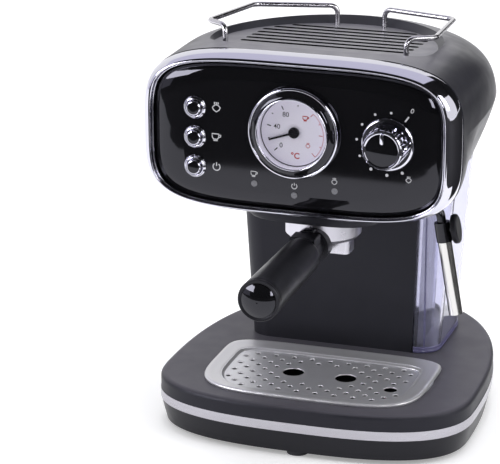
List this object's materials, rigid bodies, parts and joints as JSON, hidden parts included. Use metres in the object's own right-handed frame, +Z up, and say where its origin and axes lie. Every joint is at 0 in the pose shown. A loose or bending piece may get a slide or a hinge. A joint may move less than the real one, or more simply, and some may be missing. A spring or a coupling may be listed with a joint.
{
  "type": "espresso machine",
  "caption": "Pump espresso machine: round-edged head with a gauge, buttons and steam knob, portafilter with spout, swivelling steam wand, drip tray, clear tank and cup rails.",
  "frame": {"origin": "on the table, in the plane of the undersides of the feet, under the middle of the base", "axes": "+X to the right as the user faces the machine, +Y from the front to the back, +Z up"},
  "size_m": [0.2426, 0.3509, 0.3126],
  "materials": {
    "satin_black": "satin",
    "panel_black": "polished",
    "chrome": "polished",
    "steel": "brushed",
    "aluminium": "satin",
    "brass": "plain",
    "clear_plastic": "clear",
    "clear_glass": "clear",
    "red_plastic": "plain",
    "rubber": "matt",
    "hose": "matt",
    "dial_white": "printed",
    "board_green": "matt"
  },
  "bodies": {
    "chassis": {"base_lower_shell": "satin_black", "base_trim_band": "chrome", "base_top_cover": "satin_black", "feet": "rubber", "base_screws": "steel", "cord_gland": "rubber", "column_housing": "satin_black", "tank_socket": "rubber", "pump": "steel", "pump_mounts": "rubber", "suction_hose": "hose", "pressure_hose": "hose", "head_lower_shell": "satin_black", "head_top_cover": "satin_black", "cup_rail_left": "steel", "cup_rail_right": "steel", "rail_nuts": "steel", "front_bezel": "chrome", "front_panel": "panel_black", "gauge_ring": "chrome", "gauge_can": "satin_black", "gauge_dial": "dial_white", "gauge_lens": "clear_glass", "button_rings": "chrome", "button_switches": "satin_black", "control_board": "board_green", "indicator_lenses": "clear_plastic", "knob_flange": "chrome", "steam_valve": "brass", "boiler_base": "aluminium", "boiler_top": "aluminium", "thermostat": "satin_black", "group_collar": "aluminium", "group_gasket": "rubber", "shower_screen": "steel", "shower_screw": "steel", "wand_bushing": "satin_black"},
    "upper_button": {"button_upper": "chrome"},
    "middle_button": {"button_middle": "chrome"},
    "lower_button": {"button_lower": "chrome"},
    "steam_control": {"steam_knob": "chrome", "valve_stem": "brass"},
    "needle": {"gauge_needle": "satin_black"},
    "tray": {"drip_tray": "satin_black"},
    "grid": {"drip_grid": "steel"},
    "float": {"tray_float": "red_plastic"},
    "tank": {"water_tank": "clear_plastic", "tank_lid": "clear_plastic", "tank_valve": "satin_black"},
    "portafilter": {"portafilter_cup": "aluminium", "filter_basket": "steel", "twin_spout": "aluminium", "handle_neck": "satin_black", "handle_grip": "satin_black", "handle_end_cap": "panel_black", "handle_bolt": "steel"},
    "wand": {"wand_elbow": "satin_black", "wand_tube": "steel", "wand_paddle": "satin_black"}
  },
  "joints": [
    {"name": "upper_button_press", "type": "slide", "parent": "chassis", "child": "upper_button", "axis": [0, 1, 0], "range_m": [0, 0.0025], "stiffness_N_per_m": 600},
    {"name": "middle_button_press", "type": "slide", "parent": "chassis", "child": "middle_button", "axis": [0, 1, 0], "range_m": [0, 0.0025], "stiffness_N_per_m": 600},
    {"name": "lower_button_press", "type": "slide", "parent": "chassis", "child": "lower_button", "axis": [0, 1, 0], "range_m": [0, 0.0025], "stiffness_N_per_m": 600},
    {"name": "steam_knob_turn", "type": "hinge", "parent": "chassis", "child": "steam_control", "pos_m": [0.0683, -0.134, 0.247], "axis": [0, -1, 0], "range_deg": [-35, 208]},
    {"name": "gauge_needle_turn", "type": "hinge", "parent": "chassis", "child": "needle", "pos_m": [0, -0.1325, 0.2495], "axis": [0, -1, 0], "range_deg": [-243, 23], "stiffness_Nm_per_rad": 0.001},
    {"name": "tray_lift", "type": "slide", "parent": "chassis", "child": "tray", "axis": [0, 0, 1], "range_m": [0, 0.032]},
    {"name": "grid_lift", "type": "slide", "parent": "tray", "child": "grid", "axis": [0, 0, 1], "range_m": [0, 0.01]},
    {"name": "float_rise", "type": "slide", "parent": "tray", "child": "float", "axis": [0, 0, 1], "range_m": [0, 0.008]},
    {"name": "tank_pull", "type": "slide", "parent": "chassis", "child": "tank", "axis": [0, 1, 0], "range_m": [0, 0.12]},
    {"name": "portafilter_turn", "type": "hinge", "parent": "chassis", "child": "portafilter", "pos_m": [0, -0.057, 0.18], "axis": [0, 0, 1], "range_deg": [-50, 10]},
    {"name": "wand_swivel", "type": "hinge", "parent": "chassis", "child": "wand", "pos_m": [0.075, -0.03, 0.18], "axis": [0, 0, 1], "range_deg": [-100, 30]}
  ]
}
